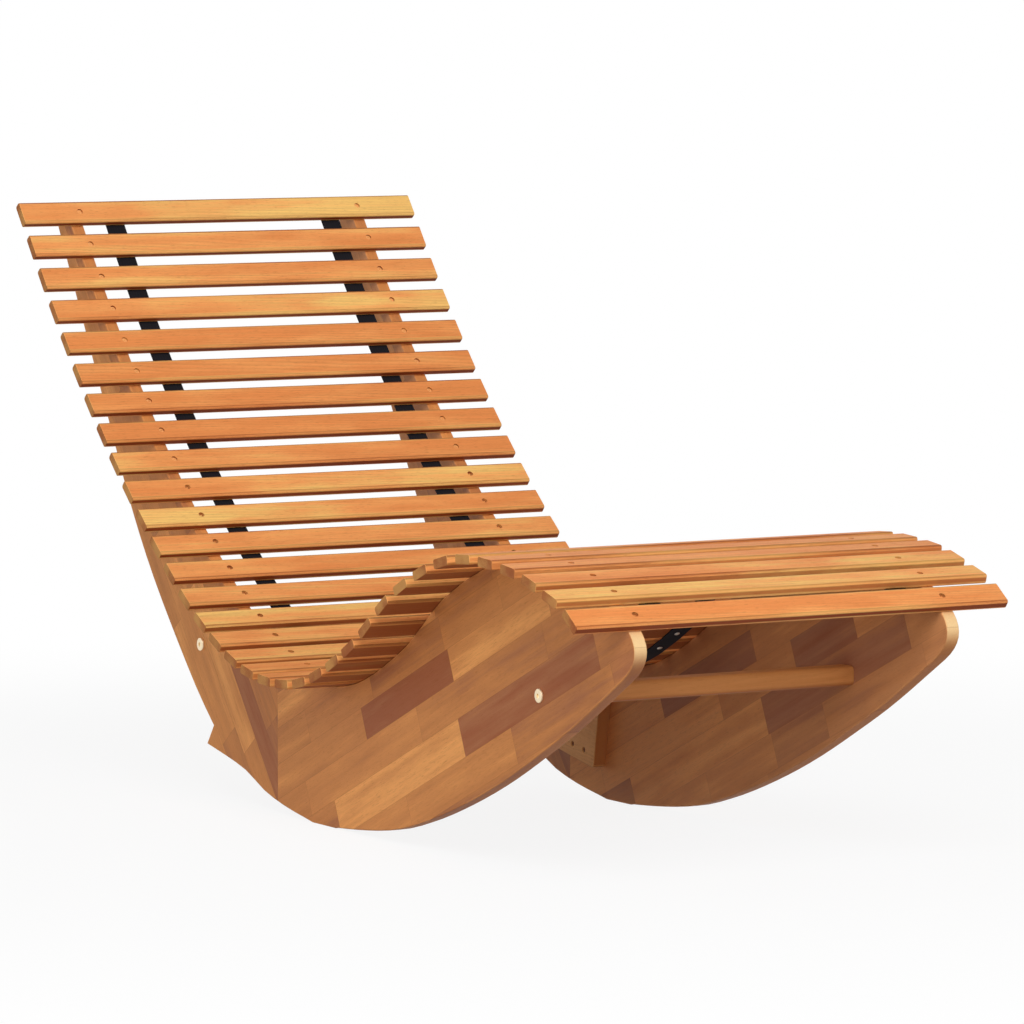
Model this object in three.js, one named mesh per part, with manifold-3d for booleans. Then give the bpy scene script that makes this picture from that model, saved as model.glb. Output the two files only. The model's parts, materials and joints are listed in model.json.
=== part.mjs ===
// Rocking chaise lounge: two rocker sides of jointed boards carry thirty-five wooden slats.
// Millimetres. X runs along the slats, Y from the foot end to the head end, Z up.
// The origin lies on the floor, under the middle of the lounger's bounding box.

import * as THREE from 'three';
import * as BufferGeometryUtils from 'three/addons/utils/BufferGeometryUtils.js';
import Module from 'manifold-3d';

const wasm = await Module();
wasm.setup();

// Fits
const touchGap = 0.3;
const boreClearance = 0.4;
const cutOverrun = 5;

// Rocker sides
const sideLength = 1517;
const sideHeight = 758;
const sideSpacing = 416;
const boardThickness = 18;
const noseReach = 31;
const headRadius = 13;
const headBoardDepth = 34;
const floorFlat = 60;

// Slats
const slatLength = 600;
const slatWidth = 34;
const slatThickness = 12;
const slatEdgeRadius = 3;
const slatScrewSpacing = 427;
const screwPocketDiameter = 8;
const screwPocketDepth = 2.5;

// Slat counts of the upper and lower back rest, its curve into the seat, the seat hollow, the knee
// hump and the foot end, and the share of the seat line that each takes
const zoneSteps = [5, 5, 4, 9, 8, 3];
const zoneShares = [0.1556, 0.1502, 0.1185, 0.2462, 0.2439, 0.0856];

// Webbing straps under the slats
const strapWidth = 28;
const strapThickness = 1.3;
const strapSpacing = 343;

// Joint plates inside the boards
const plateLength = 200;
const plateHeight = 108;
const plateThickness = 18;
const plateTilt = THREE.MathUtils.degToRad(10);
const plateCornerRadius = 4;
const plateScrewPitch = 29;
const plateScrewRow = 74;
const plateScrewDiameter = 7;
const plateScrewDepth = 3;

// Screw columns of a joint plate, in pitches from the joint
const plateScrewColumns = [-2.5, -1.5, 1.5, 2.5];

// Crossbars and their connector bolts
const barDepth = 30;
const barHeight = 24;
const barEdgeRadius = 6;
const boltDiameter = 6;
const boltHeadDiameter = 17;
const boltHeadThickness = 2.6;
const boltHeadCrown = 0.8;
const boltSocketDiameter = 5.8;
const boltSocketDepth = 1.6;
const boltGripInBar = 46;
const barrelNutDiameter = 10;
const barrelNutLength = 17;
const barrelNutFromBarEnd = 32;

// Outlines of a side, as shares of its length from the foot end and of its height from the floor
const seatLineShares = [
  [0.973, 0.98], [0.9143, 0.8298], [0.8517, 0.6873], [0.7851, 0.5541], [0.7126, 0.4301],
  [0.6348, 0.3206], [0.5478, 0.248], [0.4542, 0.2441], [0.3665, 0.3166], [0.2881, 0.4235],
  [0.2004, 0.4894], [0.1105, 0.4878], [0.0458, 0.4549], [0.0251, 0.4384], [0.0178, 0.4277],
];
const runnerShares = [
  [0.7086, 0.091], [0.642, 0.0635], [0.5979, 0.0303], [0.5432, 0.0079], [0.49, 0],
  [0.3909, 0.0171], [0.3276, 0.0462], [0.2663, 0.0871], [0.2063, 0.1359], [0.1477, 0.1926],
  [0.0897, 0.2533], [0.02, 0.3364],
];
const rearEdgeShares = [
  [0.6961, 0.1253], [0.7356, 0.1979], [0.8056, 0.3522], [0.853, 0.4815], [0.8945, 0.6214],
  [0.9928, 0.9538],
];

// Places on a side, as shares of its length from the foot end and of its height from the floor
const contactShare = 0.4977;
const jointShare = 0.5781;
const plateHeightShare = 0.1478;
const frontBarShares = [0.1424, 0.2902];
const rearBarShares = [0.7179, 0.2612];

// Facet counts
const seatLineSamples = 400;
const runnerSteps = 40;
const rearEdgeSteps = 22;
const cornerSteps = 4;
const holeSides = 10;
const headSides = 24;

// Finishes
const finishes = {
  slat: new THREE.MeshStandardMaterial({ color: 0xe0914f, roughness: 0.6, metalness: 0 }),
  paleSlat: new THREE.MeshStandardMaterial({ color: 0xf0b468, roughness: 0.6, metalness: 0 }),
  board: new THREE.MeshStandardMaterial({ color: 0xa5693f, roughness: 0.6, metalness: 0 }),
  plate: new THREE.MeshStandardMaterial({ color: 0xad7345, roughness: 0.6, metalness: 0 }),
  bar: new THREE.MeshStandardMaterial({ color: 0xb9783f, roughness: 0.6, metalness: 0 }),
  webbing: new THREE.MeshStandardMaterial({ color: 0x14151a, roughness: 0.9, metalness: 0 }),
  zinc: new THREE.MeshStandardMaterial({ color: 0xe8d3ae, roughness: 0.35, metalness: 1 }),
};

const lounger = new THREE.Group();
lounger.name = 'rocking_chaise_lounge';

function toSolid(geometry) {
  const bare = geometry.clone();
  bare.deleteAttribute('normal');
  bare.deleteAttribute('uv');
  const merged = BufferGeometryUtils.mergeVertices(bare);
  return new wasm.Manifold(new wasm.Mesh({
    numProp: 3,
    vertProperties: Float32Array.from(merged.attributes.position.array),
    triVerts: Uint32Array.from(merged.index.array),
  }));
}

function toGeometry(solid) {
  const mesh = solid.getMesh();
  const geometry = new THREE.BufferGeometry();
  geometry.setAttribute('position', new THREE.BufferAttribute(mesh.vertProperties, 3));
  geometry.setIndex(new THREE.BufferAttribute(mesh.triVerts, 1));
  geometry.computeVertexNormals();
  return geometry;
}

function addPiece(name, solid, material) {
  const piece = new THREE.Mesh(toGeometry(solid), material);
  piece.name = name;
  lounger.add(piece);
  return piece;
}

// A side view outline (Y, Z) pushed along X from one place to another
function extrudeAlongX(outline, fromX, toX) {
  const geometry = new THREE.ExtrudeGeometry(new THREE.Shape(outline), {
    depth: toX - fromX,
    bevelEnabled: false,
  });
  const shapeToWorld = new THREE.Matrix4().makeBasis(
    new THREE.Vector3(0, 1, 0),
    new THREE.Vector3(0, 0, 1),
    new THREE.Vector3(1, 0, 0),
  );
  geometry.applyMatrix4(shapeToWorld);
  geometry.translate(fromX, 0, 0);
  return toSolid(geometry);
}

// A round pin or cutter whose axis runs along X, Y or Z
function rod(axis, diameter, length, centre, sides = holeSides) {
  const geometry = new THREE.CylinderGeometry(diameter / 2, diameter / 2, length, sides);
  if (axis === 'x') geometry.rotateZ(-Math.PI / 2);
  if (axis === 'z') geometry.rotateX(Math.PI / 2);
  geometry.translate(centre.x, centre.y, centre.z);
  return toSolid(geometry);
}

// A rectangle with rounded corners around the origin of the outline plane
function roundedRectangle(width, height, radius) {
  const outline = [];
  const corners = [
    [width / 2 - radius, -height / 2 + radius, -Math.PI / 2],
    [width / 2 - radius, height / 2 - radius, 0],
    [-width / 2 + radius, height / 2 - radius, Math.PI / 2],
    [-width / 2 + radius, -height / 2 + radius, Math.PI],
  ];
  for (const [y, z, start] of corners) {
    for (let step = 0; step <= cornerSteps; step += 1) {
      const angle = start + (step / cornerSteps) * (Math.PI / 2);
      outline.push(new THREE.Vector2(y + radius * Math.cos(angle), z + radius * Math.sin(angle)));
    }
  }
  return outline;
}

function placeFromShares([y, z]) {
  return new THREE.Vector2(y * sideLength, z * sideHeight);
}

function curveFromShares(shares) {
  return new THREE.SplineCurve(shares.map(placeFromShares));
}

// Points of an arc that rounds the corner between two straight runs
function roundedCorner(before, corner, after, radius) {
  const toBefore = before.clone().sub(corner).normalize();
  const toAfter = after.clone().sub(corner).normalize();
  const halfAngle = Math.acos(THREE.MathUtils.clamp(toBefore.dot(toAfter), -1, 1)) / 2;
  const setback = radius / Math.tan(halfAngle);
  const start = corner.clone().addScaledVector(toBefore, setback);
  const end = corner.clone().addScaledVector(toAfter, setback);
  return new THREE.QuadraticBezierCurve(start, corner, end).getPoints(2 * cornerSteps);
}

// Where each slat lies on the seat line: its middle, its direction and the normal that points up
const seatLine = curveFromShares(seatLineShares);
seatLine.arcLengthDivisions = seatLineSamples;

function slatSeats() {
  const seats = [];
  let startShare = 0;
  zoneSteps.forEach((steps, zone) => {
    const firstStep = zone === 0 ? 0 : 1;
    for (let step = firstStep; step <= steps; step += 1) {
      const share = Math.min(startShare + (zoneShares[zone] * step) / steps, 1);
      const middle = seatLine.getPointAt(share);
      const along = seatLine.getTangentAt(share);
      const up = new THREE.Vector2(along.y, -along.x);
      seats.push({ middle, along, up });
    }
    startShare += zoneShares[zone];
  });
  return seats;
}

const seats = slatSeats();

// The line that slats rest on, with a flat for each slat, at a depth below their undersides
function seatFlats(depth) {
  const line = [];
  for (const { middle, along, up } of seats) {
    for (const end of [-slatWidth / 2, slatWidth / 2]) {
      line.push(middle.clone().addScaledVector(along, end).addScaledVector(up, -depth));
    }
  }
  return line;
}

// Slats
function slatSolid() {
  const profile = roundedRectangle(slatWidth, slatThickness, slatEdgeRadius);
  let solid = extrudeAlongX(profile, -slatLength / 2, slatLength / 2);
  for (const side of [-1, 1]) {
    const pocket = rod('z', screwPocketDiameter, 2 * screwPocketDepth, {
      x: (side * slatScrewSpacing) / 2,
      y: 0,
      z: slatThickness / 2,
    });
    solid = solid.subtract(pocket);
  }
  return solid;
}

const paleSlatNumbers = [4, 10, 11, 15, 33];

function addSlats() {
  const solid = slatSolid();
  seats.forEach(({ middle, up }, index) => {
    const number = index + 1;
    const finish = paleSlatNumbers.includes(number) ? finishes.paleSlat : finishes.slat;
    const slat = addPiece(`slat_${String(number).padStart(2, '0')}`, solid, finish);
    const centre = middle.clone().addScaledVector(up, slatThickness / 2);
    slat.position.set(0, centre.x, centre.y);
    slat.rotation.x = Math.atan2(-up.x, up.y);
  });
}

// Outline of a whole rocker side, before it is parted into two boards
function sideOutline() {
  const top = seatFlats(touchGap);
  const head = top[0];
  const foot = top[top.length - 1];
  const headUp = seats[0].up;
  const headBack = head.clone().addScaledVector(headUp, -headBoardDepth);
  const contact = placeFromShares([contactShare, 0]);
  const runnerPoints = curveFromShares(runnerShares).getSpacedPoints(runnerSteps)
    .filter((point) => Math.abs(point.x - contact.x) > floorFlat / 2)
    .map((point) => new THREE.Vector2(point.x, Math.max(point.y, 0)));
  const flatEnds = [-1, 1].map((end) => new THREE.Vector2(contact.x + (end * floorFlat) / 2, 0));
  const runnerOutline = [...runnerPoints, ...flatEnds].sort((a, b) => a.x - b.x);
  const rearEdge = curveFromShares(rearEdgeShares).getSpacedPoints(rearEdgeSteps);
  const noseStart = runnerOutline[0];
  const nose = new THREE.QuadraticBezierCurve(
    foot,
    new THREE.Vector2(foot.x - noseReach, (foot.y + noseStart.y) / 2),
    noseStart,
  ).getPoints(2 * cornerSteps);
  const headCorner = roundedCorner(head, headBack, rearEdge[rearEdge.length - 1], headRadius);
  return [
    ...top,
    ...nose.slice(1, -1),
    ...runnerOutline,
    ...rearEdge,
    ...headCorner.reverse(),
  ];
}

// A box that spans the part of a side on one side of the joint
function halfSpace(fromY, toY) {
  const box = new THREE.BoxGeometry(slatLength, toY - fromY, 2 * sideHeight + 2 * cutOverrun);
  box.translate(0, (fromY + toY) / 2, 0);
  return toSolid(box);
}

const joint = placeFromShares([jointShare, plateHeightShare]);
const barPlaces = {
  front: placeFromShares(frontBarShares),
  rear: placeFromShares(rearBarShares),
};

function addBoards() {
  const outline = sideOutline();
  const boltHole = boltDiameter + 2 * boreClearance;
  const partings = {
    front: halfSpace(-sideLength, joint.x - touchGap / 2),
    rear: halfSpace(joint.x + touchGap / 2, 2 * sideLength),
  };
  for (const [side, sign] of [['left', -1], ['right', 1]]) {
    const inner = (sign * sideSpacing) / 2;
    const outer = inner + sign * boardThickness;
    const whole = extrudeAlongX(outline, Math.min(inner, outer), Math.max(inner, outer));
    for (const end of ['front', 'rear']) {
      const hole = rod('x', boltHole, boardThickness + 2 * cutOverrun, {
        x: (inner + outer) / 2,
        y: barPlaces[end].x,
        z: barPlaces[end].y,
      });
      const board = whole.intersect(partings[end]).subtract(hole);
      addPiece(`${side}_${end}_board`, board, finishes.board);
    }
  }
}

// Joint plates: a tilted rectangle screwed over the inside of each joint
function addJointPlates() {
  const tilt = new THREE.Vector2(Math.cos(plateTilt), Math.sin(plateTilt));
  const place = (along, across) => new THREE.Vector2(
    joint.x + along * tilt.x - across * tilt.y,
    joint.y + along * tilt.y + across * tilt.x,
  );
  const outline = roundedRectangle(plateLength, plateHeight, plateCornerRadius)
    .map((point) => place(point.x, point.y));
  for (const [side, sign] of [['left', -1], ['right', 1]]) {
    const outer = sign * (sideSpacing / 2 - touchGap);
    const inner = outer - sign * plateThickness;
    let plate = extrudeAlongX(outline, Math.min(inner, outer), Math.max(inner, outer));
    for (const column of plateScrewColumns) {
      for (const row of [-1, 1]) {
        const spot = place(column * plateScrewPitch, (row * plateScrewRow) / 2);
        const pocket = rod('x', plateScrewDiameter, 2 * plateScrewDepth, {
          x: inner,
          y: spot.x,
          z: spot.y,
        });
        plate = plate.subtract(pocket);
      }
    }
    addPiece(`${side}_joint_plate`, plate, finishes.plate);
  }
}

// Crossbars, with a bolt bore in each end grain and a blind hole for the barrel nut
function addCrossbars() {
  const halfLength = sideSpacing / 2 - touchGap;
  const profile = roundedRectangle(barDepth, barHeight, barEdgeRadius);
  const bore = boltDiameter + 2 * boreClearance;
  const nutHole = barrelNutDiameter + 2 * boreClearance;
  for (const [end, place] of Object.entries(barPlaces)) {
    const { x: y, y: z } = place;
    const outline = profile.map((point) => point.clone().add(place));
    let bar = extrudeAlongX(outline, -halfLength, halfLength);
    for (const sign of [-1, 1]) {
      const boltBore = rod('x', bore, 2 * (boltGripInBar + cutOverrun), {
        x: sign * halfLength,
        y,
        z,
      });
      const nutHoleDepth = (barHeight + barrelNutLength) / 2 + touchGap;
      const nutBore = rod('z', nutHole, nutHoleDepth + cutOverrun, {
        x: sign * (halfLength - barrelNutFromBarEnd),
        y,
        z: z - barHeight / 2 + (nutHoleDepth - cutOverrun) / 2,
      });
      bar = bar.subtract(boltBore).subtract(nutBore);
    }
    addPiece(`${end}_crossbar`, bar, finishes.bar);
  }
}

// Connector bolt: a low crowned head with a key socket, and a plain shank
function boltSolid() {
  const reach = touchGap + boardThickness + touchGap + boltGripInBar;
  const headRadiusOfBolt = boltHeadDiameter / 2;
  const profile = [
    new THREE.Vector2(0, -reach),
    new THREE.Vector2(boltDiameter / 2, -reach),
    new THREE.Vector2(boltDiameter / 2, 0),
    new THREE.Vector2(headRadiusOfBolt, 0),
    new THREE.Vector2(headRadiusOfBolt, boltHeadThickness - boltHeadCrown),
    new THREE.Vector2(headRadiusOfBolt - boltHeadCrown, boltHeadThickness),
    new THREE.Vector2(0, boltHeadThickness),
  ];
  const socket = new THREE.CylinderGeometry(
    boltSocketDiameter / 2,
    boltSocketDiameter / 2,
    2 * boltSocketDepth,
    6,
  );
  socket.translate(0, boltHeadThickness, 0);
  return toSolid(new THREE.LatheGeometry(profile, headSides)).subtract(toSolid(socket));
}

function addBoltsAndNuts() {
  const bolt = boltSolid();
  const outerFace = sideSpacing / 2 + boardThickness + touchGap;
  const nutFromMiddle = sideSpacing / 2 - touchGap - barrelNutFromBarEnd;
  for (const [side, sign] of [['left', -1], ['right', 1]]) {
    for (const [end, { x: y, y: z }] of Object.entries(barPlaces)) {
      const piece = addPiece(`${side}_${end}_bolt`, bolt, finishes.zinc);
      piece.position.set(sign * outerFace, y, z);
      piece.rotation.z = (-sign * Math.PI) / 2;
      const place = { x: sign * nutFromMiddle, y, z };
      const body = rod('z', barrelNutDiameter, barrelNutLength, place, headSides);
      const thread = rod('x', boltDiameter + 2 * boreClearance, 2 * barrelNutDiameter, place);
      addPiece(`${side}_${end}_barrel_nut`, body.subtract(thread), finishes.zinc);
    }
  }
}

// Webbing straps that tie the undersides of the slats together
function addStraps() {
  const near = seatFlats(touchGap);
  const far = seatFlats(touchGap + strapThickness);
  const outline = [...near, ...far.reverse()];
  for (const [side, sign] of [['left', -1], ['right', 1]]) {
    const middle = (sign * strapSpacing) / 2;
    const strap = extrudeAlongX(outline, middle - strapWidth / 2, middle + strapWidth / 2);
    addPiece(`${side}_strap`, strap, finishes.webbing);
  }
}

addSlats();
addBoards();
addJointPlates();
addCrossbars();
addBoltsAndNuts();
addStraps();

// The outlines start at the foot end; the finished lounger is centred over its origin
const bounds = new THREE.Box3().setFromObject(lounger);
const middleY = (bounds.min.y + bounds.max.y) / 2;
for (const piece of lounger.children) piece.position.y -= middleY;

export default lounger;
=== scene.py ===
# %% [markdown]
# # A rocking chaise lounge in oiled hardwood
#
# The lounger has two rocker sides, each glued up from short staves and butted together from a
# front board and a rear board. Thirty-five slats are screwed across them, two black straps tie the
# slats from below, and two crossbars with connector bolts hold the sides apart. This lesson dresses
# the measured model piece by piece. Lengths are in metres, X runs along the slats, Y from the foot
# end to the head end and Z up.

import json
import math
import random

import bmesh
import bpy
from mathutils import Matrix, Vector

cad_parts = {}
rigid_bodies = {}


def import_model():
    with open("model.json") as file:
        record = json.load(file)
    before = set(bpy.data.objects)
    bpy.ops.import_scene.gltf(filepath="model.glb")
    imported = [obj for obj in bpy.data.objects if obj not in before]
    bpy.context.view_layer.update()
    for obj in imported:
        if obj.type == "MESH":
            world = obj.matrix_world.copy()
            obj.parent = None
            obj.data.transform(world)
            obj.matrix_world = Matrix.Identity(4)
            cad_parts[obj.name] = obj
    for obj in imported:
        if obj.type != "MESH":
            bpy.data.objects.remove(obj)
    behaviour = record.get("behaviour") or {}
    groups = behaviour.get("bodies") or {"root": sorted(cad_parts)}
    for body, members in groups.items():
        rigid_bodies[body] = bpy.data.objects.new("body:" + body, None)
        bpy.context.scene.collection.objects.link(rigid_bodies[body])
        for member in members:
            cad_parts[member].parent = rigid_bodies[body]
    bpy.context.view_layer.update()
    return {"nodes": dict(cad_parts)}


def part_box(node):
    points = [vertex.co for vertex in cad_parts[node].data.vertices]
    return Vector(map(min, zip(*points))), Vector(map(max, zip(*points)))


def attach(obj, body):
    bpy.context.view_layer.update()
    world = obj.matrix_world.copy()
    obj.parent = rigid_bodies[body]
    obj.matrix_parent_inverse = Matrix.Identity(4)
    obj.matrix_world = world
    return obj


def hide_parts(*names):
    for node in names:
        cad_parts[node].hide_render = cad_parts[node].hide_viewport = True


for thing in list(bpy.data.objects):
    bpy.data.objects.remove(thing)
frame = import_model()
nodes = frame["nodes"]
MM = 0.001

# %% [markdown]
# ## Working by hand in code
#
# An edit mode tool acts on whatever is selected, so every step first clears the selection and then
# picks faces or edges by their place or direction. These few helpers take a piece, open it for
# editing, choose parts of it and close it again. A copy of a measured piece arrives as loose
# triangles, so it is merged and its flat faces are joined before any tool is used on it.

# %% Selecting and editing helpers
def take(piece):
    bpy.ops.object.select_all(action="DESELECT")
    piece.select_set(True)
    bpy.context.view_layer.objects.active = piece


def open_mesh(piece):
    take(piece)
    bpy.ops.object.mode_set(mode="EDIT")


def close_mesh():
    bpy.ops.object.mode_set(mode="OBJECT")


def choose(kind, test):
    """Selects the faces or edges of the open piece that pass the test, and counts them."""
    bpy.ops.mesh.select_mode(type=kind)
    bpy.ops.mesh.select_all(action="DESELECT")
    shape = bmesh.from_edit_mesh(bpy.context.edit_object.data)
    found = 0
    for part in shape.faces if kind == "FACE" else shape.edges:
        if test(part):
            part.select_set(True)
            found += 1
    bmesh.update_edit_mesh(bpy.context.edit_object.data)
    return found


def ease(test, width, segments=2):
    """Rounds off the edges of the open piece that pass the test, and counts them."""
    eased = choose("EDGE", test)
    bpy.ops.mesh.bevel(offset=width, segments=segments)
    return eased


def shape_with(piece, kind, **settings):
    """Adds a modifier to a piece, sets it up and applies it."""
    take(piece)
    modifier = piece.modifiers.new(kind.lower(), kind)
    for name, value in settings.items():
        setattr(modifier, name, value)
    bpy.ops.object.modifier_apply(modifier=modifier.name)


# %% Adding, copying and finishing helpers
ROOT = "root"
SIDES = (("left", -1), ("right", 1))
TOUCHING = 0.01 * MM
FLAT_WITHIN = math.radians(0.4)
SMOOTH_BELOW = 32


def add_new(name, primitive, **values):
    """Adds a primitive, a lamp or a camera while nothing else is selected, and names it."""
    bpy.ops.object.select_all(action="DESELECT")
    primitive(**values)
    piece = bpy.context.object
    piece.name = name
    return piece


def merged_copy(node_name, name):
    """A copy of a measured piece, with its triangles merged into whole faces."""
    piece = bpy.data.objects.new(name, nodes[node_name].data.copy())
    bpy.context.scene.collection.objects.link(piece)
    piece.data.materials.clear()
    open_mesh(piece)
    bpy.ops.mesh.select_all(action="SELECT")
    bpy.ops.mesh.remove_doubles(threshold=TOUCHING)
    bpy.ops.mesh.dissolve_limited(angle_limit=FLAT_WITHIN)
    close_mesh()
    return piece


def copy_of(pattern, name, place):
    """A copy with its own mesh, moved to its place inside that mesh."""
    piece = bpy.data.objects.new(name, pattern.data.copy())
    bpy.context.scene.collection.objects.link(piece)
    piece.data.transform(place)
    return piece


def discard(pattern):
    bpy.data.objects.remove(pattern)


def smooth(piece, degrees=SMOOTH_BELOW):
    """Rounds the shading over small angles, while large flat faces stay flat."""
    take(piece)
    bpy.ops.object.shade_smooth_by_angle(angle=math.radians(degrees))
    shape_with(piece, "WEIGHTED_NORMAL", keep_sharp=True)


def dress(piece, finish, slot, *replaced):
    """Gives a piece its finish, lets it ride with the lounger and hides what it stands for."""
    piece.data.materials.clear()
    piece.data.materials.append(finish)
    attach(piece, ROOT)
    if replaced:
        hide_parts(*replaced)


# %% [markdown]
# ## Writing a finish as a sum
#
# A wood or metal finish is a sum of patterns. Wrapping a node's output in a small class lets the
# sum be written as plain Python: each sign adds a Math node. One method makes every other node
# from its type, its settings and what goes into its sockets, so that a finish reads like a recipe.

# %% Wires
class Wire:
    """An output in a recipe. Sums and products of wires add Math nodes."""

    def __init__(self, recipe, socket):
        self.recipe = recipe
        self.socket = socket

    def math(self, operation, first, second=0.0):
        return self.recipe.node("ShaderNodeMath", {"operation": operation}, {0: first, 1: second})

    def __add__(self, other):
        return self.math("ADD", self, other)

    def __radd__(self, other):
        return self.math("ADD", other, self)

    def __sub__(self, other):
        return self.math("SUBTRACT", self, other)

    def __rsub__(self, other):
        return self.math("SUBTRACT", other, self)

    def __mul__(self, other):
        return self.math("MULTIPLY", self, other)

    def __rmul__(self, other):
        return self.math("MULTIPLY", other, self)

    def __truediv__(self, other):
        return self.math("DIVIDE", self, other)

    def __pow__(self, other):
        return self.math("POWER", self, other)

    def fraction(self):
        return self.math("FRACT", self)

    def sine(self):
        return self.math("SINE", self)

    def lesser(self, other):
        return self.math("MINIMUM", self, other)

    def greater(self, other):
        return self.math("MAXIMUM", self, other)


# %% Recipes and finishes
class Recipe:
    """A tree of nodes in the making."""

    def __init__(self, tree):
        self.tree = tree

    def node(self, kind, settings=None, inputs=None, output=0):
        """Adds a node, sets it up, fills its sockets and hands back one output or several."""
        made = self.tree.nodes.new(kind)
        for name, value in (settings or {}).items():
            if name == "stops":
                self.set_stops(made.color_ramp.elements, value)
            else:
                setattr(made, name, value)
        for key, value in (inputs or {}).items():
            self.feed(made.inputs[key], value)
        if isinstance(output, tuple):
            return [Wire(self, made.outputs[key]) for key in output]
        return Wire(self, made.outputs[output])

    def set_stops(self, stops, wanted):
        while len(stops) < len(wanted):
            stops.new(1.0)
        for stop, (position, tone) in zip(stops, wanted):
            stop.position = position
            stop.color = tone

    def feed(self, socket, value):
        if isinstance(value, Wire):
            self.tree.links.new(value.socket, socket)
        else:
            socket.default_value = value

    def attribute(self, name, output="Fac"):
        return self.node("ShaderNodeAttribute", {"attribute_name": name}, output=output)

    def split(self, vector):
        return self.node("ShaderNodeSeparateXYZ", inputs={0: vector}, output=(0, 1, 2))

    def noise(self, place, waves, detail=2.0, roughness=0.5):
        """A cloudy pattern from 0 to 1, with so many waves a metre in each direction."""
        settings = {"operation": "MULTIPLY"}
        stretched = self.node("ShaderNodeVectorMath", settings, {0: place, 1: waves})
        values = {"Vector": stretched, "Scale": 1.0, "Detail": detail, "Roughness": roughness}
        return self.node("ShaderNodeTexNoise", inputs=values)

    def between(self, value, low, high):
        """0 below low, 1 above high and a smooth step from one to the other."""
        settings = {"interpolation_type": "SMOOTHSTEP"}
        return self.node("ShaderNodeMapRange", settings, {"Value": value, 1: low, 2: high})

    def ramp(self, value, stops):
        return self.node("ShaderNodeValToRGB", {"stops": stops}, {0: value})

    def blend(self, share, first, second):
        """Colour first where share is 0 and colour second where it is 1.

        Inputs 6 and 7 and output 2 of a Mix node are the ones for colours.
        """
        values = {0: share, 6: first, 7: second}
        return self.node("ShaderNodeMix", {"data_type": "RGBA"}, values, output=2)

    def bump(self, height, strength, depth):
        values = {"Height": height, "Strength": strength, "Distance": depth}
        return self.node("ShaderNodeBump", inputs=values)


class Finish(Recipe):
    """A material in the making."""

    def __init__(self, name):
        self.material = bpy.data.materials.new(name)
        self.material.use_nodes = True
        super().__init__(self.material.node_tree)
        self.shader = self.tree.nodes["Principled BSDF"]

    def set(self, **values):
        for name, value in values.items():
            self.feed(self.shader.inputs[name.replace("_", " ")], value)
        return self.material


def colour(red, green, blue):
    """A colour as it looks on a screen, from 0 to 255, as the linear colour that a finish holds."""
    shares = [channel / 255 for channel in (red, green, blue)]
    linear = [s / 12.92 if s <= 0.04045 else ((s + 0.055) / 1.055) ** 2.4 for s in shares]
    return (*linear, 1.0)


# %% [markdown]
# ## Oiled hardwood
#
# Every plank carries its own coordinates: along the grain, across it and through the plank. Growth
# rings are circles around a pith that runs beside the plank at a slight slant, so one formula gives
# long figures on the faces, straight lines on the edges and arcs on the end grain. This wood shows
# its rings only faintly: what the eye sees are broad streaks, narrow bands and fine fibres that all
# run along the plank, with short dark pores over them. The arrises are worn a little paler. The
# faces that look down get a painted shade, darkest on the narrow sides, and the inner faces of the
# side boards get a painted light, a pale grey cast with streaks. The oil has sunk in, so the gloss
# is low.

# %% The wood finish
RING_WIDTH = 4.2 * MM
RING_WAVER = 16 * MM
PITH_BESIDE = 31 * MM
PITH_SLANT = 0.045
GLUE_LINE = 0.35 * MM
OIL_GLOSS = 0.2
OILED_ROUGHNESS = 0.5
PAINTED_LIGHT_TINT = colour(188, 172, 160)

# The mean of a cloudy pattern, and its waves a metre along the grain, across and through the plank
MEAN = 0.5
WAVER_WAVES = (3.1, 19, 19)
STREAK_WAVES = (2.1, 66, 66)
BLOTCH_WAVES = (8.5, 40, 40)
BAND_WAVES = (4.5, 230, 230)
FIBRE_WAVES = (24, 900, 900)
PORE_WAVES = (95, 2100, 2100)

# How strongly each pattern changes the plank's tone, and how strongly it darkens the grain
STREAKS_IN_TONE, BLOTCHES_IN_TONE, BANDS_IN_TONE = 0.85, 0.9, 0.5
BANDS_IN_GRAIN, FIBRES_IN_GRAIN, PORES_IN_GRAIN = 0.3, 0.2, 0.3
CLEAR_WOOD, CLEAR_FIGURE = 0.1, 0.08

# How much of the colour is taken over by end grain, by wear, by a glue line and by the painted
# light
END_GRAIN_SHARE, WEAR_SHARE, GLUE_SHARE = 0.9, 0.35, 0.4
EVEN_PAINTED_LIGHT, STREAKY_PAINTED_LIGHT = 0.06, 0.12


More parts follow.
